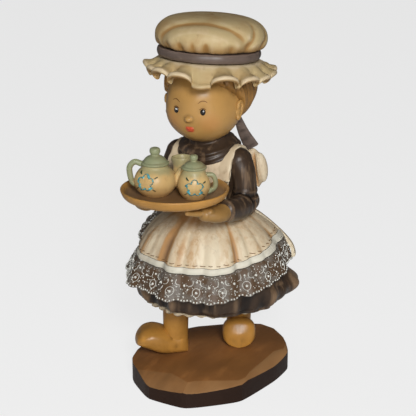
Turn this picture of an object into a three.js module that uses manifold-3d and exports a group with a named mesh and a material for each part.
// Carved and painted wooden child carrying a tea tray, on a chip-carved base.
// Millimetres, +Z up, origin on the underside of the base at its middle.
// The child faces -Y, its left hand is towards +X. Angles round the figure are
// measured from the front (-Y), positive towards the child's left (+X).
import * as THREE from 'three';
import { mergeVertices } from 'three/addons/utils/BufferGeometryUtils.js';
import Module from 'manifold-3d';

const wasm = await Module();
wasm.setup();

// Driving sizes
const CLEARANCE = 0.3;
const BASE_H = 10;
const TOE_LIFT = 4;
const ANKLE_R = 5.4;
const CUFF_Z = 20.5;
const HEM_Z = 35;
const HEM_R = 26;
const SKIRT_R = 27.6;
const WAIST_Z = 71.5;
const WAIST_R = 10;
const APRON_T = 1.5;
const APRON_RIGHT = -80;
const APRON_LEFT = 122;
const HEM_RISE = 6.6;
const PLEAT_DEPTH = 1.7;
const BAND_LOW = 52.3;
const BAND_HIGH = 54.6;
const LACE_LOW = 43.2;
const LACE_FLARE = 33.6;
const LACE_T = 1.1;
const SCALLOP = 1.1;
const BODICE_T = 1.1;
const SHOULDER_Z = WAIST_Z + 19.7;
const SHOULDER_X = 13.2;
const COLLAR_Z = WAIST_Z + 26.5;
const COLLAR_R = 12.2;
const SLEEVE_R = 5;
const ELBOW_Z = WAIST_Z + 5.1;
const ELBOW = [16.3, -1.8, ELBOW_Z];
const TRAY_C = [0.8, -28.4];
const TRAY_R = 20.6;
const TRAY_Z = WAIST_Z + 9.9;
const TRAY_FLOOR = 1.6;
const TRAY_RIM = 4.5;
const TEAPOT_C = [-5.8, -31.4];
const TEAPOT_R = 8;
const TEAPOT_H = 11.2;
const SUGAR_C = [9, -28.1];
const SUGAR_R = 6.1;
const SUGAR_H = 10.8;
const JUG_C = [-1.6, -18.6];
const JUG_R = 4.4;
const JUG_H = 11.8;
const HANDLE_R = 1.1;
const HEAD_Z = COLLAR_Z + 16.4;
const HEAD_C = [0.3, -5.65, HEAD_Z];
const HEAD_R = 15;
const HEAD_TALL = 15.8;
const FACE_TURN = 7;
const HAIR_C = [0.3, -0.4, HEAD_Z + 6];
const HAIR_R = 17.6;
const HAIR_TALL = 16.4;
const CAP_C = [1.2, -2.75];
const CAP_Z = HEAD_Z + 16;
const CAP_ROLL = 2.7;
const CAP_TIP = 2.2;
const FRILL_R = 26;
const FRILL_WAVE = 2.6;
const RIBBON_R = 20.1;
const RIBBON_H = 3.2;
const CROWN_R = 21.5;
const CROWN_H = 12.6;
const BOW_C = [0, 13.4, WAIST_Z + 9.5];
const BOW_REACH = 13.2;
const BOW_TALL = 8;
const PEG_R = 1.6;
const FACET = 0.076;
const SHORTEST = 0.04;

const rad = THREE.MathUtils.degToRad;
const mix = THREE.MathUtils.lerp;
const step = THREE.MathUtils.smoothstep;
const V = (x, y, z) => new THREE.Vector3(x, y, z);
const at = (deg, r, z) => V(r * Math.sin(rad(deg)), -r * Math.cos(rad(deg)), z);
const wrap = (deg) => ((deg % 360) + 540) % 360 - 180;
const bell = (x, width) => Math.exp(-((x / width) ** 2));
const range = (n, f) => Array.from({ length: n }, (_, i) => f(i, i / (n - 1)));

// A curve through pairs [station, value], read at any station.
function profile(pairs) {
  const curve = new THREE.CatmullRomCurve3(pairs.map(([s, v]) => V(s, v, 0)), false, 'catmullrom', 0.4);
  const samples = curve.getPoints(pairs.length * 12);
  return (s) => {
    let i = 1;
    while (i < samples.length - 1 && samples[i].x < s) i += 1;
    const a = samples[i - 1];
    const b = samples[i];
    const t = THREE.MathUtils.clamp((s - a.x) / (b.x - a.x || 1), 0, 1);
    return mix(a.y, b.y, t);
  };
}

function surface(points, faces) {
  let volume = 0;
  for (const [a, b, c] of faces) {
    volume += points[a].dot(points[b].clone().cross(points[c]));
  }
  return { points, faces: volume < 0 ? faces.map(([a, b, c]) => [a, c, b]) : faces };
}

// Closed surface of a three.js geometry, each point placed by a rule.
function shaped(geometry, place) {
  geometry.deleteAttribute('normal');
  geometry.deleteAttribute('uv');
  const merged = mergeVertices(geometry, 1e-4);
  const { position } = merged.attributes;
  const points = Array.from(
    { length: position.count },
    (_, i) => place(V(0, 0, 0).fromBufferAttribute(position, i)),
  );
  const corners = [...merged.index.array];
  const faces = [];
  for (let i = 0; i < corners.length; i += 3) {
    const face = corners.slice(i, i + 3);
    if (new Set(face).size === 3) faces.push(face);
  }
  return surface(points, faces);
}

// Skin over closed rings, ends closed onto a middle point.
function loft(rings) {
  const n = rings[0].length;
  const points = rings.flat();
  const faces = [];
  for (let i = 0; i + 1 < rings.length; i += 1) {
    for (let j = 0; j < n; j += 1) {
      const k = (j + 1) % n;
      const [a, b, c, d] = [i * n + j, i * n + k, (i + 1) * n + k, (i + 1) * n + j];
      faces.push([a, b, c], [a, c, d]);
    }
  }
  const lid = (ring, offset, flip) => {
    const middle = ring.reduce((sum, p) => sum.add(p), V(0, 0, 0)).divideScalar(n);
    const m = points.push(middle) - 1;
    for (let j = 0; j < n; j += 1) {
      const k = (j + 1) % n;
      faces.push(flip ? [m, offset + k, offset + j] : [m, offset + j, offset + k]);
    }
  };
  lid(rings[0], 0, true);
  lid(rings[rings.length - 1], (rings.length - 1) * n, false);
  return surface(points, faces);
}

// Sheet with thickness: front and back grids of the same size, edges closed.
function sheet(front, back) {
  const rows = front.length;
  const cols = front[0].length;
  const points = [...front.flat(), ...back.flat()];
  const half = rows * cols;
  const faces = [];
  const quad = (a, b, c, d) => faces.push([a, b, c], [a, c, d]);
  for (let i = 0; i + 1 < rows; i += 1) {
    for (let j = 0; j + 1 < cols; j += 1) {
      const [a, b] = [i * cols + j, i * cols + j + 1];
      quad(a, b, b + cols, a + cols);
      quad(half + b, half + a, half + a + cols, half + b + cols);
    }
  }
  for (let j = 0; j + 1 < cols; j += 1) {
    const last = (rows - 1) * cols + j;
    quad(half + j, half + j + 1, j + 1, j);
    quad(last, last + 1, half + last + 1, half + last);
  }
  for (let i = 0; i + 1 < rows; i += 1) {
    const [a, b] = [i * cols, i * cols + cols - 1];
    quad(a, a + cols, half + a + cols, half + a);
    quad(b + cols, b, half + b, half + b + cols);
  }
  return surface(points, faces);
}

// Band closed round the figure.
function hoop(outer, inner) {
  const n = outer[0].length;
  const loops = [...outer, ...[...inner].reverse()];
  const points = loops.flat();
  const faces = [];
  for (let i = 0; i < loops.length; i += 1) {
    const up = ((i + 1) % loops.length) * n;
    for (let j = 0; j < n; j += 1) {
      const k = (j + 1) % n;
      faces.push([i * n + j, i * n + k, up + k], [i * n + j, up + k, up + j]);
    }
  }
  return surface(points, faces);
}

// Body swept along a path: half width and half thickness by station, rounded ends.
function sweep(path, wide, thick, options = {}) {
  const { sides = 12, stations = 10, up = V(0, 0, 1), square = 1, ends = 1 } = options;
  const curve = new THREE.CatmullRomCurve3(path.map((p) => V(...p)), false, 'centripetal');
  const around = Math.round(sides);
  const steps = Math.round(stations);
  const rings = [];
  const ring = (t, shrink, shift) => {
    const tangent = curve.getTangentAt(t);
    const side = tangent.clone().cross(up).normalize();
    const normal = side.clone().cross(tangent).normalize();
    const origin = curve.getPointAt(t).addScaledVector(tangent, shift);
    const w = (typeof wide === 'function' ? wide(t) : wide) * shrink;
    const h = (typeof thick === 'function' ? thick(t) : thick) * shrink;
    const soften = (v) => Math.sign(v) * Math.abs(v) ** square;
    rings.push(Array.from({ length: around }, (_, j) => {
      const a = (2 * Math.PI * (j + 0.5)) / around;
      return origin.clone()
        .addScaledVector(side, w * soften(Math.cos(a)))
        .addScaledVector(normal, h * soften(Math.sin(a)));
    }));
  };
  const size = (t) => Math.min(
    typeof wide === 'function' ? wide(t) : wide,
    typeof thick === 'function' ? thick(t) : thick,
  );
  const [s0, s1] = [size(0) * ends, size(1) * ends];
  ring(0, 0.45, -0.8 * s0);
  ring(0, 0.82, -0.45 * s0);
  for (let i = 0; i < steps; i += 1) {
    ring(i / (steps - 1), 1, 0);
  }
  ring(1, 0.82, 0.45 * s1);
  ring(1, 0.45, 0.8 * s1);
  return loft(rings);
}

// Turned body: pairs [radius, height] from the bottom to the top.
function turned(cx, cy, pairs, sides = 24, shape = () => 1) {
  const ends = [[0, pairs[0][1]], ...pairs, [0, pairs[pairs.length - 1][1]]];
  const lathe = new THREE.LatheGeometry(ends.map(([r, z]) => new THREE.Vector2(r, z)), sides);
  return shaped(lathe.rotateX(Math.PI / 2), (p) => {
    const deg = THREE.MathUtils.radToDeg(Math.atan2(p.x, -p.y));
    const k = shape(deg, p.z);
    return V(cx + p.x * k, cy + p.y * k, p.z);
  });
}

// Rounded body about a centre; relief moves each point along its own direction.
function ball(centre, radii, sides, tiers, relief = () => 0) {
  const sphere = new THREE.SphereGeometry(1, sides, tiers).rotateX(Math.PI / 2);
  return shaped(sphere, (dir) => V(...radii).multiply(dir).multiplyScalar(1 + relief(dir)).add(V(...centre)));
}

// Solid of a surface, let out by a margin along its own normals.
function solid(shape, margin = 0) {
  let points = shape.points;
  if (margin) {
    const normals = points.map(() => V(0, 0, 0));
    for (const [a, b, c] of shape.faces) {
      const n = points[b].clone().sub(points[a]).cross(points[c].clone().sub(points[a]));
      normals[a].add(n);
      normals[b].add(n);
      normals[c].add(n);
    }
    points = points.map((p, i) => p.clone().addScaledVector(normals[i].normalize(), margin * 1.12));
  }
  const vertProperties = new Float32Array(points.flatMap((p) => [p.x, p.y, p.z]));
  const triVerts = new Uint32Array(shape.faces.flat());
  return new wasm.Manifold(new wasm.Mesh({ numProp: 3, vertProperties, triVerts }));
}

const largest = (body) => body.decompose().sort((a, b) => b.volume() - a.volume())[0];

// Each neighbour given is cut away with the working clearance; the main body stays.
function fitted(body, ...neighbours) {
  let result = body.points ? solid(body) : body;
  for (const neighbour of neighbours) {
    result = result.subtract(neighbour.points ? solid(neighbour, CLEARANCE) : neighbour);
  }
  return largest(result);
}

const joined = (...shapes) => shapes.map((s) => solid(s)).reduce((a, b) => a.add(b));
const mirrored = (path) => path.map(([x, y, z]) => [-x, y, z]);

// Base: a thick sawn board with flat gouge cuts taken off its upper edge.
const BASE_CORNERS = [
  [-21, -25.4], [-8, -35], [8, -35.6], [14.5, -30.6], [24.5, -19], [27.4, 3.6],
  [26.3, 18], [16, 31], [3.4, 37], [-8.4, 27], [-20.2, 17.2], [-26, 9], [-27.6, -6], [-25.6, -19],
];
const BASE_SIDES = 48;
const baseCurve = new THREE.CatmullRomCurve3(
  BASE_CORNERS.map(([x, y]) => V(x, y, 0)), true, 'catmullrom', 0.24,
);
const OUTLINE = baseCurve.getSpacedPoints(BASE_SIDES).slice(0, BASE_SIDES);
// Gouge cuts: direction round the base, distance in from the edge, slope of the cut.
const CUTS = [
  [-10, 9.3, 63], [41.5, 6.9, 60], [64, 4, 52], [88, 4.8, 55], [112, 3, 50], [140, 2, 48],
  [168, 2.6, 46], [-150, 3.4, 50], [-122, 3, 46], [-96, 2.4, 44], [-68, 2.2, 46], [-42, 3.2, 56],
];
const CUTTER = 60;
function gouge([direction, inward, slope]) {
  const out = at(direction, 1, 0);
  const reach = Math.max(...OUTLINE.map((p) => p.dot(out))) - inward;
  const normal = out.clone().multiplyScalar(Math.cos(rad(slope))).setZ(Math.sin(rad(slope)));
  const turn = new THREE.Quaternion().setFromUnitVectors(V(0, 0, 1), normal);
  const edge = out.clone().multiplyScalar(reach).setZ(BASE_H);
  return shaped(
    new THREE.BoxGeometry(CUTTER, CUTTER, CUTTER / 2),
    (p) => p.clone().setZ(p.z + CUTTER / 4).applyQuaternion(turn).add(edge),
  );
}
const board = shaped(
  new THREE.ExtrudeGeometry(new THREE.Shape(OUTLINE.map((p) => new THREE.Vector2(p.x, p.y))), {
    depth: BASE_H,
    bevelEnabled: false,
  }),
  (p) => p,
);
const plinthSolid = CUTS.reduce((body, cut) => body.subtract(solid(gouge(cut))), solid(board));

// Clogs: a round raised toe, a groove over the instep and a straight heel.
const RIGHT_ANKLE = [-10.9, -9.3];
const LEFT_ANKLE = [4.6, 15.2];
const HEEL_BACK = ANKLE_R - 0.2;
const CLOG_SIDES = 14;
const clogHalf = profile([
  [0, 3.2], [0.12, 5], [0.3, 5.3], [0.48, 5.6], [0.66, 7.1], [0.84, 6.7], [0.95, 4.6], [1, 1.6],
]);
const clogTop = profile([
  [0, -4.5], [0.1, -0.6], [0.3, 0], [0.44, -0.6], [0.49, -2.4],
  [0.56, -0.8], [0.7, 0.5], [0.86, -1], [1, -5.6],
]);
function clog(ankle, turn, ahead, lift) {
  const out = at(turn, 1, 0);
  const side = V(-out.y, out.x, 0);
  return loft(range(14, (_, t) => {
    const along = mix(-HEEL_BACK, ahead, t);
    const low = BASE_H + CLEARANCE + lift * step(t, 0.4, 1);
    const high = CUFF_Z + clogTop(t) + 0.4 * lift * step(t, 0.86, 1);
    return range(CLOG_SIDES, (j) => {
      const a = (2 * Math.PI * j) / CLOG_SIDES;
      const across = Math.sign(Math.cos(a)) * Math.abs(Math.cos(a)) ** 0.8 * clogHalf(t);
      const up = Math.sin(a) > 0 ? Math.sin(a) ** 0.8 : -(Math.abs(Math.sin(a)) ** 0.4);
      return V(ankle[0], ankle[1], (high + low) / 2 + (up * (high - low)) / 2)
        .addScaledVector(out, along)
        .addScaledVector(side, across);
    });
  }));
}
const rightShoeShape = clog(RIGHT_ANKLE, -57, 16.6, TOE_LIFT);
const leftShoeShape = clog(LEFT_ANKLE, 30, 11.4, 0);

// Skirt: soft folds widening to a deep lobe at the child's left.
// Folds: direction, depth, half width.
const FOLDS = [[118, 6.6, 30], [158, 4.6, 22], [-152, 4.8, 26], [-108, 1, 24], [-40, 1.2, 20], [20, 0.6, 16]];
const FOLD_Z = 39.4;
const SWELL = { at: 112, depth: 2.4, width: 34, z: 55, tall: 8 };
const SKIRT_H = WAIST_Z - HEM_Z;
const skirtProfile = profile([
  [-0.055, HEM_R + 0.4], [0.041, SKIRT_R], [0.164, SKIRT_R + 0.6], [0.301, SKIRT_R + 0.3],
  [0.438, SKIRT_R - 0.4], [0.548, SKIRT_R - 1.4], [0.658, SKIRT_R - 3.4], [0.767, SKIRT_R - 6.2],
  [0.849, SKIRT_R - 9.2], [0.918, 15], [0.964, 12], [1, WAIST_R - 0.4],
]);
const flutes = (deg) => 0.55 * Math.cos(rad(deg * 9 + 20)) + 0.35 * Math.cos(rad(deg * 5 - 60));
const fullness = (z) => 1 - step(z, HEM_Z + 0.58 * SKIRT_H, WAIST_Z);
function skirtRadius(deg, z) {
  let lobes = 0;
  for (const [where, depth, spread] of FOLDS) {
    lobes += depth * bell(wrap(deg - where), spread);
  }
  const swell = SWELL.depth * bell(wrap(deg - SWELL.at), SWELL.width) * bell(z - SWELL.z, SWELL.tall);
  const plain = skirtProfile((z - HEM_Z) / SKIRT_H) + flutes(deg) * fullness(z);
  return plain + lobes * bell(z - FOLD_Z, 4.8) + swell;
}
function hemHeight(deg) {
  const sag = 1.8 * bell(wrap(deg - 118), 40) + 1.4 * bell(wrap(deg + 150), 40);
  return HEM_Z + 0.8 * Math.cos(rad(deg * 3 + 30)) - sag;
}
const SKIRT_SIDES = 44;
const skirtRing = (t) => range(SKIRT_SIDES, (i) => {
  const deg = (360 * i) / SKIRT_SIDES;
  const z = mix(hemHeight(deg), WAIST_Z, t);
  return at(deg, skirtRadius(deg, z), z);
});
const UNDER_DIP = 1.4;
const PETTICOAT_T = 2.2;
function underRing(share, drop, peek = 0) {
  return range(SKIRT_SIDES, (i) => {
    const deg = (360 * i) / SKIRT_SIDES;
    const hem = hemHeight(deg);
    const scallops = peek * (0.5 + 0.5 * Math.cos(rad(deg * 24)));
    const r = (skirtRadius(deg, hem) - 0.9) * share + scallops;
    return at(deg, r, mix(HEM_Z - UNDER_DIP, hem, share ** 2) - drop);
  });
}
const skirtShape = loft([
  underRing(0.4, 0),
  underRing(0.8, 0),
  underRing(1, 0),
  ...[0, 0.06, 0.13, 0.22, 0.34, 0.48, 0.62, 0.76, 0.89, 1].map(skirtRing),
]);
const petticoatShape = loft([
  underRing(0.4, PETTICOAT_T + CLEARANCE),
  underRing(0.86, PETTICOAT_T - 0.2 + CLEARANCE),
  underRing(0.97, PETTICOAT_T - 0.5 + CLEARANCE, 0.5),
  underRing(0.985, 0.9 + CLEARANCE, 0.5),
  underRing(0.86, CLEARANCE),
  underRing(0.4, CLEARANCE),
]);
const aboveHem = loft([
  underRing(0.4, PETTICOAT_T + 2 * CLEARANCE),
  underRing(1.2, PETTICOAT_T + 2 * CLEARANCE),
  range(SKIRT_SIDES, (i) => at((360 * i) / SKIRT_SIDES, 40, 60)),
]);

// Apron skirt, its white hem band and the flared lace below it. The hem rises
// towards the child's left.
// Pleats: direction, share of the full depth, half width.
const PLEATS = [
  [-62, 0.5, 8], [-40, 0.6, 8], [-14, 1, 7], [9, 0.3, 6], [22, 0.25, 5], [39, 0.35, 6],
  [57, 0.65, 6], [79, 0.45, 7], [100, 0.6, 8],
];
const hemRise = (deg) => HEM_RISE * step(wrap(deg), 28, 112);
function pleats(deg, z) {
  let depth = 0;
  for (const [where, share, width] of PLEATS) {
    depth += share * bell(wrap(deg - where), width);
  }
  return PLEAT_DEPTH * (0.4 - depth) * (1 - step(z, HEM_Z + 0.68 * SKIRT_H, WAIST_Z + 1)) * 0.9;
}
const apronRadius = (deg, z) => skirtRadius(deg, z) + CLEARANCE + APRON_T + pleats(deg, z);
const APRON_COLS = 54;
function wrapSheet(from, to, cols, rows, outer, level, thickness) {
  const grid = (inset) => range(rows, (_, t) => range(cols, (__, s) => {
    const deg = mix(from, to, s);
    const z = level(deg, t);
    return at(deg, Math.max(outer(deg, z, t), skirtRadius(deg, z) + CLEARANCE + thickness) - inset, z);
  }));
  return sheet(grid(0), grid(thickness));
}
const apronShape = wrapSheet(
  APRON_RIGHT, APRON_LEFT, APRON_COLS, 7, apronRadius,
  (deg, t) => mix(BAND_HIGH + CLEARANCE + hemRise(deg), WAIST_Z - 0.6, t), APRON_T,
);
const bandShape = wrapSheet(
  APRON_RIGHT - 0.4, APRON_LEFT, APRON_COLS, 3,
  (deg, z, t) => apronRadius(deg, z) + 0.35 * Math.sin(Math.PI * t) + 0.1,
  (deg, t) => mix(BAND_LOW, BAND_HIGH, t) + hemRise(deg), APRON_T,
);
const SCALLOPS = 23;
const LACE_COLS = SCALLOPS * 3 + 1;
const LACE_TOP = BAND_LOW - CLEARANCE;
const scallop = (deg) => {
  const share = (deg - APRON_RIGHT) / (APRON_LEFT - APRON_RIGHT);
  return SCALLOP * Math.abs(Math.sin(Math.PI * SCALLOPS * share));
};
function laceRadius(deg, z) {
  const down = THREE.MathUtils.clamp((LACE_TOP + hemRise(deg) - z) / (LACE_TOP - LACE_LOW), 0, 1.1);
  const ripple = 0.7 * down * Math.cos(rad(deg * 11 + 40));
  const flare = LACE_FLARE + flutes(deg) + 0.8 * pleats(deg, LACE_LOW) - 0.3 * hemRise(deg);
  return mix(apronRadius(deg, LACE_TOP + hemRise(deg)), flare, down ** 0.8) + ripple;
}
const laceShape = wrapSheet(
  APRON_RIGHT, APRON_LEFT, LACE_COLS, 3, laceRadius,
  (deg, t) => mix(LACE_LOW - scallop(deg), LACE_TOP, t) + hemRise(deg), LACE_T,
);
const SIDE_LACE_OUT = 5.6;
const sideLace = sheet(...[0, LACE_T].map((inset) => range(17, (_, t) => range(4, (__, s) => {
  const z = mix(LACE_TOP, WAIST_Z - 4.5, t);
  const reach = s * (1 - 0.35 * t) * (0.8 + 0.22 * Math.abs(Math.sin(Math.PI * 4 * t)));
  const r = apronRadius(APRON_RIGHT, z) + SIDE_LACE_OUT * reach - inset * (1 - 0.2 * s);
  return at(APRON_RIGHT - 1.6 - 11 * reach, r, z);
}))));

// Bodice, bib, straps and waistband.
const TORSO_LEAN = -0.6;
const WAISTBAND_H = 3.8;
const bodiceWide = profile([
  [0, 9.6], [4.5, 10.6], [10.5, 12.2], [15.5, 13.6], [19.5, 13.4], [22.7, 11.2], [25.3, 7.4], [26.9, 4],
]);
const bodiceDeep = profile([
  [0, 9], [4.5, 9.6], [10.5, 10.6], [15.5, 10.8], [19.5, 10], [22.7, 8.4], [25.3, 6], [26.9, 3.4],
]);
// A point on the trunk at a height above the waist, let out by a distance.
function torso(deg, rise, out) {
  const way = at(deg, 1, 0);
  const [wide, deep] = [bodiceWide(rise) + out, bodiceDeep(rise) + out];
  return V(way.x * wide, way.y * deep + TORSO_LEAN, WAIST_Z + rise);
}
const bodiceShape = loft([CLEARANCE, 3.5, 7.5, 11.5, 15.5, 18.5, 21.3, 23.7, 25.7, 26.9]
  .map((rise) => range(20, (i) => torso(18 * i, rise, 0))));
const bibShape = sheet(...[BODICE_T, 0].map((out) => range(7, (_, t) => range(13, (__, s) => (
  torso(mix(-58, 58, s), mix(WAISTBAND_H + CLEARANCE, 21.1, t), out + CLEARANCE)
)))));
const waistbandShape = hoop(...[1.6, 0].map((out) => range(3, (_, t) => range(24, (i) => {
  const bulge = out > 0 ? 0.35 * Math.sin(Math.PI * t) : 0;
  return torso(15 * i, mix(CLEARANCE, WAISTBAND_H, t), out + CLEARANCE + bulge);
}))));
const strapPath = [
  [10.2, -9.4, 14], [10.6, -9.2, 17.9], [10.4, -7, 21.5], [10.2, -3.6, 24.3], [10.2, 0.2, 25],
  [10.2, 4, 23.5], [10, 7.4, 19.7], [9.4, 9, 14.5],
].map(([x, y, rise]) => [x, y, WAIST_Z + rise]);
const STRAP_HALF = 3.2;
const strapOptions = { sides: 8, stations: 10, up: V(1, 0, 0), square: 0.5, ends: 0.3 };
const leftStrapShape = sweep(strapPath, 0.9, STRAP_HALF, strapOptions);
const rightStrapShape = sweep(mirrored(strapPath), 0.9, STRAP_HALF, strapOptions);

// Draped collar: soft folds falling lower on the chest.
const collarReach = profile([
  [0, COLLAR_R - 1.6], [0.2, COLLAR_R + 0.2], [0.45, COLLAR_R - 1.2], [0.7, 8.4], [1, 7],
]);
function collarFolds(deg, t) {
  const fullest = 0.4 + 0.6 * Math.cos(rad(deg * 0.5)) ** 2;
  return 0.5 * Math.sin(t * 15 + 1.4 * Math.cos(rad(deg))) * fullest;
}
const collarShape = loft(range(8, (i, t) => range(18, (j) => {
  const deg = 20 * j;
  const drape = (2.6 * (1 - t) + 0.6) * Math.cos(rad(deg));
  const p = at(deg, collarReach(t) + collarFolds(deg, t), COLLAR_Z - 4.6 + 9.4 * t - drape);
  return V(p.x * 1.02, p.y * 0.92 - 1.6, p.z);
})));

// Sleeves: upper arm and forearm meet at the elbow with carved creases.
const WRIST_Z = TRAY_Z - 4;
const leftUpperPath = [
  [SHOULDER_X, -1.6, SHOULDER_Z], [15.4, -1.8, SHOULDER_Z - 4.2], [16.2, -1.8, ELBOW_Z + 5], ELBOW,
];
const forearm = [[15.9, 0.4, ELBOW_Z - 0.6], [16.8, -4, ELBOW_Z - 1.4]];
const leftForePath = [...forearm, [18, -12, WRIST_Z - 1.6], [18.2, -21, WRIST_Z]];
const rightForePath = [...mirrored(forearm), [-16.4, -12, WRIST_Z - 1.4], [-15.2, -20.8, WRIST_Z]];
const creases = (t, where, depth) => depth * Math.cos(t * 34) * bell(t - where, 0.22);
const upperWide = (t) => SLEEVE_R + 0.5 - 0.9 * Math.sin(Math.PI * t * 0.9) + creases(t, 0.95, 0.35);
const foreWide = (t) => SLEEVE_R - 0.1 - 0.6 * t + creases(t, 0.15, 0.4);
const upperOptions = { sides: 10, stations: 8, up: V(0, 1, 0.2) };
const foreOptions = { sides: 10, stations: 9, up: V(0, 0, 1), ends: 0.5 };
const leftUpperShape = sweep(leftUpperPath, upperWide, upperWide, upperOptions);
const rightUpperShape = sweep(mirrored(leftUpperPath), upperWide, upperWide, upperOptions);
const leftForeShape = sweep(leftForePath, foreWide, foreWide, foreOptions);
const rightForeShape = sweep(rightForePath, foreWide, foreWide, foreOptions);

// Hands: palm, four fingers and thumb spread under the tray.
function hand(flip, shift) {
  const place = (x, y, below) => [flip * x + shift, y, TRAY_Z - below];
  const small = { sides: 7, stations: 3, up: V(0, 0, 1) };
  const palm = sweep(
    [place(18, -21.6, 4.4), place(16.6, -25.4, 4.4), place(14.2, -29.4, 3.6)],
    (t) => 3.6 + 1.1 * Math.sin(Math.PI * t),
    (t) => 3.4 - 0.7 * t,
    { sides: 10, stations: 4, up: V(0, 0, 1) },
  );
  const fingers = range(4, (i) => sweep(
    [
      place(16.6 - 1.6 * i, -27.6 - 0.7 * i, 3.2),
      place(13.6 - 1.5 * i, -32.6 + 0.1 * i, 2.8),
      place(11 - 1.1 * i, -36.4 + 1.7 * i, 1.9),
    ],
    (t) => 1.35 - 0.35 * t,
    (t) => 1.3 - 0.3 * t,
    small,
  ));
  const thumb = sweep(
    [place(18.8, -24.4, 3.8), place(19.9, -27.2, 2.4), place(19.4, -30.4, 1.7)],
    1.5,
    1.4,
    small,
  );
  return joined(palm, thumb, ...fingers);
}
const leftHandSolid = hand(1, 0);
const rightHandSolid = hand(-1, 3);

// Round tray with a raised, flared rim.
const trayShape = turned(TRAY_C[0], TRAY_C[1], [
  [6, TRAY_Z], [TRAY_R - 4.4, TRAY_Z], [TRAY_R - 1.4, TRAY_Z + 1.2], [TRAY_R - 0.2, TRAY_Z + TRAY_RIM - 0.7],
  [TRAY_R - 0.4, TRAY_Z + TRAY_RIM], [TRAY_R - 1.3, TRAY_Z + TRAY_RIM - 0.2],
  [TRAY_R - 2.3, TRAY_Z + TRAY_FLOOR + 0.9], [TRAY_R - 4.4, TRAY_Z + TRAY_FLOOR], [6, TRAY_Z + TRAY_FLOOR],
], 32);

// Pots: round bodies, lids with knobs, handles and spouts.
const POT_Z = TRAY_Z + TRAY_FLOOR + CLEARANCE;
function potBody(centre, r, h, mouth, sides) {
  return turned(centre[0], centre[1], [
    [r * 0.3, POT_Z], [r * 0.62, POT_Z], [r * 0.86, POT_Z + h * 0.14], [r * 0.985, POT_Z + h * 0.32],
    [r, POT_Z + h * 0.46], [r * 0.94, POT_Z + h * 0.64], [r * 0.8, POT_Z + h * 0.8],
    [mouth, POT_Z + h * 0.92], [mouth, POT_Z + h], [mouth * 0.4, POT_Z + h],
  ], sides);
}
function potLid(centre, z, flange, height, knob, sides) {
  return turned(centre[0], centre[1], [
    [flange * 0.4, z], [flange - 0.5, z], [flange, z + 0.5], [flange - 0.1, z + 1.2], [flange - 1, z + 1.7],
    [knob * 1.5, z + height * 0.48], [knob, z + height * 0.56], [knob * 1.1, z + height * 0.78],
    [knob, z + height * 0.95], [knob * 0.45, z + height],
  ], sides);
}
const teapotShape = potBody(TEAPOT_C, TEAPOT_R, TEAPOT_H, 4.9, 18);
const teapotLidShape = potLid(TEAPOT_C, POT_Z + TEAPOT_H + CLEARANCE, 5.3, 6.4, 1.9, 15);
const sugarShape = potBody(SUGAR_C, SUGAR_R, SUGAR_H, 4.2, 16);
const sugarLidShape = potLid(SUGAR_C, POT_Z + SUGAR_H + CLEARANCE, 4.7, 5.2, 1.4, 14);
const jugLip = (deg, z) => 1 + 0.16 * bell(wrap(deg + 60), 26) * step(z, POT_Z + JUG_H * 0.6, POT_Z + JUG_H);
const jugShape = turned(JUG_C[0], JUG_C[1], [
  [JUG_R * 0.3, POT_Z], [JUG_R * 0.7, POT_Z], [JUG_R, POT_Z + 3], [JUG_R * 0.96, POT_Z + 5.4],
  [JUG_R * 0.78, POT_Z + 8.2], [JUG_R * 0.9, POT_Z + JUG_H], [JUG_R * 0.72, POT_Z + JUG_H],
  [JUG_R * 0.6, POT_Z + 8.2], [JUG_R * 0.3, POT_Z + 7.4],
], 14, jugLip);
// A side arm of a pot: stations give distance from its axis and height above its foot.
function arm(centre, deg, stations, r) {
  const out = at(deg, 1, 0);
  const [x, y] = centre;
  const path = stations.map(([reach, z]) => [x + out.x * reach, y + out.y * reach, POT_Z + z]);
  return sweep(path, r, r, { sides: 7, stations: 7, up: V(out.y, -out.x, 0) });
}
const teapotHandleShape = arm(
  TEAPOT_C, -60,
  [[4.8, 11.4], [7.6, 12.2], [9.4, 10.4], [9.3, 7], [8.4, 4.4], [6.8, 3.4]],
  HANDLE_R,
);
const spoutWide = (t) => 1.9 - 0.75 * t;
const teapotSpoutShape = arm(TEAPOT_C, 118, [[6, 3.6], [7.9, 5.2], [8.6, 7.4], [9.6, 9.2]], spoutWide);
const sugarHandleShape = arm(
  SUGAR_C, 118,
  [[4.6, 8.6], [6.8, 8.4], [7.9, 6.2], [7.6, 3.8], [5.4, 2.2]],
  HANDLE_R * 0.85,
);
const jugHandleShape = arm(
  JUG_C, 110,
  [[3.2, 9], [5.4, 9.2], [6.2, 6.6], [5.4, 3.8], [3.6, 3]],
  HANDLE_R * 0.8,
);

// Head: a round carved head with cheeks, chin, small nose, soft sockets and ears.
const facing = (x, y, z) => V(x, y, z).applyAxisAngle(V(0, 0, 1), rad(FACE_TURN)).normalize();
const toward = (dir, x, y, z, width) => bell(dir.angleTo(facing(x, y, z)), width);
function headRelief(dir) {
  const both = (x, y, z, width) => toward(dir, x, y, z, width) + toward(dir, -x, y, z, width);
  const cheeks = 0.045 * both(0.62, -0.72, -0.42, 0.42);
  const sockets = 0.035 * both(0.36, -0.93, -0.02, 0.2);
  const chin = 0.05 * toward(dir, 0, -0.82, -0.72, 0.3);
  const brow = 0.03 * toward(dir, 0, -1, 0.45, 0.5);
  const nape = 0.05 * toward(dir, 0, 0.6, -0.9, 0.6);
  return cheeks - sockets + chin + brow - nape;
}
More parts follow.
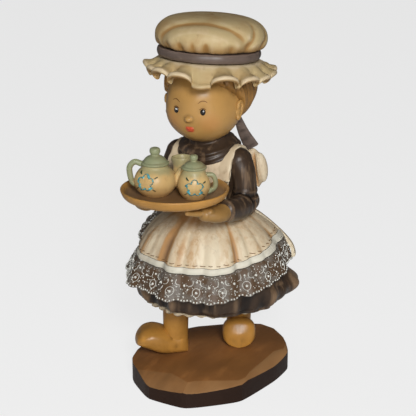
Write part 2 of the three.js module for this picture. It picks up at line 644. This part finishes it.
// The point of the head in a direction, let out by a distance.
function onHead(x, y, z, out) {
  const dir = facing(x, y, z);
  return V(HEAD_R, HEAD_R, HEAD_TALL)
    .multiply(dir)
    .multiplyScalar(1 + headRelief(dir))
    .addScaledVector(dir, out)
    .add(V(...HEAD_C));
}
const headShape = ball(HEAD_C, [HEAD_R, HEAD_R, HEAD_TALL], 24, 15, headRelief);
const noseShape = ball(onHead(0, -1, -0.24, 0.2), [1.5, 1.7, 1.4], 10, 7);
const lipsShape = ball(onHead(0, -1, -0.57, -0.4), [1.9, 1, 1], 10, 6);
const earShape = (flip) => ball(onHead(0.99 * flip, -0.08, -0.15, -0.4), [1.2, 2.1, 3.7], 10, 8);
const earShapes = [earShape(1), earShape(-1)];
const headSolid = joined(headShape, noseShape, lipsShape, ...earShapes);
const neckShape = sweep(
  [[0.4, -2.6, COLLAR_Z - 8], [0.5, -3.4, COLLAR_Z], [0.6, -4.4, COLLAR_Z + 6]], 3, 3,
  { sides: 10, stations: 3, up: V(0, 1, 0), ends: 0.4 },
);

// The cap sits rolled to the child's left and tipped back on the head.
const capAhead = V(-Math.sin(rad(30)), Math.cos(rad(30)), 0);
const capAcross = V(Math.cos(rad(30)), Math.sin(rad(30)), 0);
const capPoint = (deg, r, z) => at(deg, r, z)
  .applyAxisAngle(capAcross, rad(-CAP_TIP))
  .applyAxisAngle(capAhead, rad(CAP_ROLL))
  .add(V(CAP_C[0], CAP_C[1], CAP_Z));
const capSeatRing = (r, z) => range(20, (i) => capPoint(18 * i, r, z));
// Room for the head under the cap, clear of the ruffles.
const capSeat = loft([
  capSeatRing(10, -3.05), capSeatRing(19, -2.9), capSeatRing(22, -3.5), capSeatRing(24, 8), capSeatRing(10, 8),
]);

// Hair: swept back from the brow in carved strands, open round the face.
const strands = (dir) => 0.012 * Math.sin(Math.atan2(dir.x, -dir.y) * 22 + dir.z * 6);
const hairShape = ball(HAIR_C, [HAIR_R, HAIR_R, HAIR_TALL], 38, 12, strands);
const OPENING = { side: 76, rise: 62, below: 50 };
const openingRing = (reach) => range(26, (i) => {
  const a = (2 * Math.PI * i) / 26;
  const side = rad(FACE_TURN + OPENING.side * Math.cos(a));
  const height = rad(OPENING.rise * Math.sin(a) - OPENING.below);
  const flat = Math.cos(height);
  return V(Math.sin(side) * flat, -Math.cos(side) * flat, Math.sin(height))
    .multiplyScalar(HAIR_R * reach)
    .add(V(...HAIR_C));
});
const faceOpening = loft([openingRing(0.05), openingRing(6)]);

// Mob cap: ruffled frill, ribbon and gathered crown.
// Flutes of the frill: direction, height, half width.
const RUFFLES = [
  [-52, 0.75, 5.5], [-33, 0.7, 4.5], [-16, 1, 5], [4, 1.05, 5.5], [43, 1.1, 6], [67, 0.85, 5],
  [86, 0.7, 4.5], [106, 0.7, 5.5], [129, 0.75, 5], [152, 0.85, 5], [176, 1, 5.5], [-161, 0.9, 5],
  [-138, 1, 5.5], [-115, 0.85, 5], [-94, 0.65, 5.5], [-73, 0.55, 4.5],
];
const CURL = 2.5;
const FRILL_SIDES = 102;
const frillRing = (r, z, share) => range(FRILL_SIDES, (i) => {
  const deg = (360 * i) / FRILL_SIDES;
  let swing = 0;
  let lift = 0;
  for (const [where, tall, wide] of RUFFLES) {
    const x = wrap(deg - where) / wide;
    lift += tall * bell(x, 1);
    swing += CURL * wide * share ** 1.4 * x * bell(x, 1);
  }
  const front = Math.abs(Math.cos(rad(deg - 30))) ** 0.8;
  const sides = 1.3 * bell(wrap(deg - 120), 50) + bell(wrap(deg + 78), 34);
  const drop = 2 * FRILL_WAVE * lift - 2.8 * front - 0.5 - sides;
  return capPoint(deg + swing, r + share * (2.9 * lift - 2.1), z + share * drop);
});
const frillShape = loft([
  frillRing(9, 0.3, 0), frillRing(18.6, 0.3, 0), frillRing(21, -0.1, 0.25), frillRing(23.6, -1.2, 0.65),
  frillRing(FRILL_R - 0.2, -2.5, 1), frillRing(FRILL_R - 0.2, -3.4, 1.02), frillRing(FRILL_R - 1, -3.6, 1),
  frillRing(22.6, -2.7, 0.6), frillRing(19, -2.4, 0.1), frillRing(9, -2.6, 0),
]);
const RIBBON_Z = 0.4 + CLEARANCE;
const bandRing = (r, z) => range(40, (i) => capPoint(9 * i, r, z));
const ribbonShape = loft([
  bandRing(9, RIBBON_Z), bandRing(RIBBON_R - 0.5, RIBBON_Z), bandRing(RIBBON_R, RIBBON_Z + 0.6),
  bandRing(RIBBON_R + 0.2, RIBBON_Z + RIBBON_H / 2), bandRing(RIBBON_R, RIBBON_Z + RIBBON_H - 0.6),
  bandRing(RIBBON_R - 0.5, RIBBON_Z + RIBBON_H), bandRing(9, RIBBON_Z + RIBBON_H),
]);
const CROWN_Z = RIBBON_Z + RIBBON_H + CLEARANCE;
// Gathers: direction, depth, half width. The front of the crown is puffed up inside a crease.
const GATHERS = [
  [-66, 1.1, 6], [-43, 1.2, 5], [-20, 1.2, 5], [-2, 1.6, 4.5], [12, 0.6, 3], [25, 1.7, 4],
  [50, 1.5, 5], [72, 1.3, 5], [96, 1.3, 5], [120, 1.1, 5], [145, 1.3, 5], [170, 1.1, 5],
  [-166, 1.3, 5], [-140, 1.1, 5], [-115, 1.3, 5], [-90, 1, 5],
];
const CROWN_SIDES = 72;
function crownRing(radius, share) {
  return range(CROWN_SIDES, (i) => {
    const deg = (360 * i) / CROWN_SIDES;
    let gathered = 0;
    for (const [where, depth, width] of GATHERS) {
      gathered += depth * bell(wrap(deg - where), width);
    }
    gathered *= bell(share - 0.1, 0.3) * step(radius, 8, 16);
    const panel = Math.hypot(wrap(deg - 18) / 47, (share - 0.22) / 0.62);
    const puff = 0.9 * (1 - step(panel, 0.6, 1)) - 1.2 * bell(panel - 1.04, 0.14);
    const dip = 0.9 * bell(panel - 1.04, 0.16) * step(share, 0.6, 0.9);
    const r = radius - gathered + puff * step(radius, 8, 18);
    return capPoint(deg, r, CROWN_Z + CROWN_H * share - dip);
  });
}
const crownShape = loft([
  crownRing(8, 0), crownRing(CROWN_R - 3.2, 0), crownRing(CROWN_R - 1.2, 0.07), crownRing(CROWN_R - 0.2, 0.2),
  crownRing(CROWN_R + 0.1, 0.36), crownRing(CROWN_R - 0.5, 0.54), crownRing(CROWN_R - 2.2, 0.72),
  crownRing(CROWN_R - 5.2, 0.87), crownRing(CROWN_R - 10, 0.96), crownRing(CROWN_R - 16, 1),
]);

// Ribbon of the cap: knot at the nape and two tails down the back.
const tailPath = [[5.6, 8.6, 5.4], [6.1, 9.8, 10.4], [6.4, 12.4, 16], [9, 16, 22]]
  .map(([x, y, below]) => [x, y, HEAD_Z - below]);
const tailWide = (t) => 1.9 + 0.9 * t;
const tailOptions = { sides: 8, stations: 7, square: 0.6, ends: 0.4 };
const leftTailShape = sweep(tailPath, tailWide, 0.85, { ...tailOptions, up: V(-0.45, 0.9, 0) });
const rightTailShape = sweep(mirrored(tailPath), tailWide, 0.85, { ...tailOptions, up: V(0.45, 0.9, 0) });
const ribbonKnotShape = ball([1, 13.4, HEAD_Z - 4.8], [4, 2.4, 2.6], 12, 7);

// Apron bow at the back: two full loops, a knot and two tails on the skirt.
const loopPath = [
  [2.4, BOW_C[1], BOW_C[2]], [6.4, BOW_C[1] + 2, BOW_C[2] + 1.2],
  [9.8, BOW_C[1] + 3.6, BOW_C[2] + 2.6], [BOW_REACH, BOW_C[1] + 4, BOW_C[2] + 3.2],
];
const loopOpen = (t) => Math.sin(Math.min(t * 1.25, 1) * Math.PI * 0.5);
const loopTall = (t) => mix(2.4, BOW_TALL, loopOpen(t)) * (1 - 0.25 * step(t, 0.8, 1));
const loopDeep = (t) => 1.7 + 1.5 * Math.sin(Math.PI * Math.min(t, 0.85)) + 0.25 * Math.cos(t * 22);
const loopOptions = { sides: 11, stations: 8, up: V(0, 0, 1), ends: 0.9 };
const leftLoopShape = sweep(loopPath, loopDeep, loopTall, loopOptions);
const rightLoopShape = sweep(mirrored(loopPath), loopDeep, loopTall, loopOptions);
const knotShape = ball(BOW_C, [2.9, 2.6, 3.2], 12, 8);
const tailSpread = profile([[0, 168], [0.25, 146], [0.6, 129], [1, 121]]);
const BOW_TAIL_T = 1.3;
function bowTail(flip) {
  const grid = (lift) => range(10, (_, t) => range(5, (__, s) => {
    const z = mix(WAIST_Z + 3.5, HEM_Z + 16 + 2.2 * s, t);
    const across = mix(-1, 1, s) * mix(2, 3.8, t);
    const turn = tailSpread(t) + THREE.MathUtils.radToDeg(across / Math.max(skirtRadius(130, z), 11));
    const rest = Math.max(skirtRadius(flip * turn, z), 11.6) + 2.6 * t ** 1.2;
    const cup = lift > 0 ? 0.45 * Math.sin(Math.PI * s) : 0;
    return at(flip * turn, rest + CLEARANCE + lift + cup, z);
  }));
  return sheet(grid(BOW_TAIL_T), grid(0));
}
const leftBowTail = bowTail(1);
const rightBowTail = bowTail(-1);

// Legs and pegs.
const shankWide = (t) => ANKLE_R - 0.6 + 0.5 * t;
const shank = ([x, y]) => sweep(
  [[x, y, CUFF_Z - 5], [x, y, 25], [x * 0.98, y * 0.98, 38]], shankWide, shankWide,
  { sides: 14, stations: 3, up: V(0, 1, 0), ends: 0.2 },
);
const rightLegShape = shank(RIGHT_ANKLE);
const leftLegShape = shank(LEFT_ANKLE);
const PEG_LOW = 4;
const PEG_HIGH = 15;
const peg = ([x, y]) => turned(x, y, [
  [PEG_R - 0.4, PEG_LOW], [PEG_R, PEG_LOW + 0.5], [PEG_R, PEG_HIGH - 0.5], [PEG_R - 0.4, PEG_HIGH],
], 12);
const rightPegShape = peg(RIGHT_ANKLE);
const leftPegShape = peg(LEFT_ANKLE);

const COLOUR = {
  clog: 0xb9873f, base: 0x5d4124, dress: 0x3a322c, cream: 0xd9c7a2, hem: 0xe4e2d6, lace: 0x5b4a3c,
  skin: 0xb98a4e, sage: 0xa8a888, pot: 0xc9a878, tray: 0xa8703a, ribbon: 0x6b5f52, hair: 0x9a7038,
};

const group = new THREE.Group();
group.name = 'carved_child_with_tea_tray';
function section(name) {
  const part = new THREE.Group();
  part.name = name;
  group.add(part);
  return part;
}
// Faces of a cut body with the shortest edges closed up, so that no sliver is left.
function cleaned(points, faces) {
  const around = points.map(() => new Set());
  for (const [a, b, c] of faces) {
    around[a].add(b).add(c);
    around[b].add(a).add(c);
    around[c].add(a).add(b);
  }
  const into = points.map((_, i) => i);
  for (let a = 0; a < points.length; a += 1) {
    for (const b of [...around[a]]) {
      const shared = [...around[a]].filter((c) => around[b].has(c));
      const free = into[a] === a && into[b] === b && shared.length === 2;
      if (free && points[a].distanceTo(points[b]) < SHORTEST) {
        into[b] = a;
        for (const c of around[b]) {
          around[c].delete(b);
          if (c !== a) {
            around[c].add(a);
            around[a].add(c);
          }
        }
        around[b].clear();
      }
    }
  }
  const root = (i) => (into[i] === i ? i : root(into[i]));
  const kept = faces.map((face) => face.map(root)).filter((face) => new Set(face).size === 3);
  return surface(points, kept);
}

// Adds one piece, its own origin at the middle of its extents.
function piece(parent, name, body, color, roughness = 0.6) {
  const mesh = largest((body.points ? solid(body) : body).asOriginal().simplify(FACET)).getMesh();
  const corners = [...mesh.triVerts];
  const points = range(mesh.numVert, (i) => V(...mesh.vertProperties.slice(3 * i, 3 * i + 3)));
  const { faces } = cleaned(points, range(mesh.numTri, (i) => corners.slice(3 * i, 3 * i + 3)));
  const geometry = new THREE.BufferGeometry().setFromPoints(points);
  geometry.setIndex(faces.flat());
  geometry.computeBoundingBox();
  const middle = geometry.boundingBox.getCenter(V(0, 0, 0)).round();
  geometry.translate(-middle.x, -middle.y, -middle.z);
  geometry.computeVertexNormals();
  const result = new THREE.Mesh(geometry, new THREE.MeshStandardMaterial({ color, roughness, metalness: 0 }));
  result.name = name;
  result.position.copy(middle);
  parent.add(result);
}

const stand = section('stand');
piece(stand, 'plinth', fitted(plinthSolid, leftPegShape, rightPegShape), COLOUR.base);
piece(stand, 'right_heel_peg', rightPegShape, COLOUR.clog);
piece(stand, 'left_heel_peg', leftPegShape, COLOUR.clog);

const feet = section('feet');
piece(feet, 'right_shoe', fitted(rightShoeShape, rightPegShape, rightLegShape), COLOUR.clog);
piece(feet, 'left_shoe', fitted(leftShoeShape, leftPegShape, leftLegShape), COLOUR.clog);
piece(feet, 'right_leg', fitted(rightLegShape, solid(aboveHem), rightPegShape), COLOUR.clog);
piece(feet, 'left_leg', fitted(leftLegShape, solid(aboveHem), leftPegShape), COLOUR.clog);

const dress = section('dress');
const shoulderCuts = [bodiceShape, bibShape, collarShape];
const forearmCuts = [trayShape, bodiceShape, skirtShape, apronShape, waistbandShape];
piece(dress, 'petticoat', petticoatShape, COLOUR.cream);
piece(dress, 'skirt', fitted(skirtShape), COLOUR.dress);
const bodiceCuts = [neckShape, leftStrapShape, rightStrapShape, collarShape];
piece(dress, 'bodice', fitted(bodiceShape, ...bodiceCuts), COLOUR.dress);
piece(dress, 'collar', fitted(collarShape, headShape, neckShape, noseShape), COLOUR.dress);
const leftUpperSolid = fitted(leftUpperShape, ...shoulderCuts, leftStrapShape, leftForeShape);
const rightUpperSolid = fitted(rightUpperShape, ...shoulderCuts, rightStrapShape, rightForeShape);
piece(dress, 'left_upper_sleeve', leftUpperSolid, COLOUR.dress);
piece(dress, 'right_upper_sleeve', rightUpperSolid, COLOUR.dress);
piece(dress, 'left_forearm_sleeve', fitted(leftForeShape, ...forearmCuts), COLOUR.dress);
piece(dress, 'right_forearm_sleeve', fitted(rightForeShape, ...forearmCuts), COLOUR.dress);

const apron = section('apron');
piece(apron, 'apron_skirt', fitted(apronShape, leftBowTail), COLOUR.cream);
piece(apron, 'apron_hem_band', fitted(bandShape, leftBowTail), COLOUR.hem);
piece(apron, 'lace_border', fitted(laceShape, leftBowTail), COLOUR.lace);
piece(apron, 'side_lace', fitted(sideLace, apronShape, bandShape, laceShape, skirtShape), COLOUR.lace);
const bibCuts = [leftStrapShape, rightStrapShape, collarShape, waistbandShape];
piece(apron, 'apron_bib', fitted(bibShape, ...bibCuts), COLOUR.cream);
piece(apron, 'waistband', fitted(waistbandShape, knotShape, leftBowTail, rightBowTail), COLOUR.cream);
piece(apron, 'left_shoulder_strap', fitted(leftStrapShape, collarShape), COLOUR.cream);
piece(apron, 'right_shoulder_strap', fitted(rightStrapShape, collarShape), COLOUR.cream);
piece(apron, 'bow_knot', fitted(knotShape, bodiceShape), COLOUR.cream);
const leftLoopCuts = [knotShape, bodiceShape, leftUpperShape, leftStrapShape, leftTailShape];
const rightLoopCuts = [knotShape, bodiceShape, rightUpperShape, rightStrapShape, rightTailShape];
piece(apron, 'left_bow_loop', fitted(leftLoopShape, ...leftLoopCuts), COLOUR.cream);
piece(apron, 'right_bow_loop', fitted(rightLoopShape, ...rightLoopCuts), COLOUR.cream);
piece(apron, 'left_bow_tail', fitted(leftBowTail, knotShape, leftLoopShape, bodiceShape), COLOUR.cream);
piece(apron, 'right_bow_tail', fitted(rightBowTail, knotShape, rightLoopShape, bodiceShape), COLOUR.cream);

const arms = section('arms');
piece(arms, 'left_hand', fitted(leftHandSolid, trayShape, leftForeShape), COLOUR.skin);
piece(arms, 'right_hand', fitted(rightHandSolid, trayShape, rightForeShape), COLOUR.skin);

const service = section('tea_service');
piece(service, 'tray', fitted(trayShape, bodiceShape, bibShape, collarShape), COLOUR.tray);
piece(service, 'teapot_body', teapotShape, COLOUR.pot);
piece(service, 'teapot_lid', teapotLidShape, COLOUR.sage);
piece(service, 'teapot_handle', fitted(teapotHandleShape, teapotShape, teapotLidShape), COLOUR.sage);
piece(service, 'teapot_spout', fitted(teapotSpoutShape, teapotShape, sugarShape, sugarLidShape), COLOUR.sage);
piece(service, 'sugar_bowl', sugarShape, COLOUR.pot);
piece(service, 'sugar_bowl_lid', sugarLidShape, COLOUR.sage);
piece(service, 'sugar_bowl_handle', fitted(sugarHandleShape, sugarShape, sugarLidShape), COLOUR.sage);
piece(service, 'cream_jug', jugShape, COLOUR.pot);
piece(service, 'cream_jug_handle', fitted(jugHandleShape, jugShape, sugarShape, sugarLidShape), COLOUR.sage);

const headgear = section('head_and_cap');
piece(headgear, 'neck_peg', neckShape, COLOUR.clog);
piece(headgear, 'head', fitted(headSolid, capSeat, neckShape), COLOUR.skin);
const hairCuts = [headShape, ...earShapes, solid(faceOpening), capSeat, collarShape];
piece(headgear, 'hair', fitted(hairShape, ...hairCuts), COLOUR.hair);
piece(headgear, 'cap_frill', frillShape, COLOUR.cream);
piece(headgear, 'cap_ribbon', ribbonShape, COLOUR.ribbon);
piece(headgear, 'cap_crown', crownShape, COLOUR.cream);
piece(headgear, 'ribbon_knot', fitted(ribbonKnotShape, hairShape), COLOUR.ribbon);
const tailCuts = [hairShape, headShape, ribbonKnotShape, collarShape, bodiceShape];
piece(headgear, 'left_ribbon_tail', fitted(leftTailShape, ...tailCuts, leftStrapShape), COLOUR.ribbon);
piece(headgear, 'right_ribbon_tail', fitted(rightTailShape, ...tailCuts, rightStrapShape), COLOUR.ribbon);

export default group;
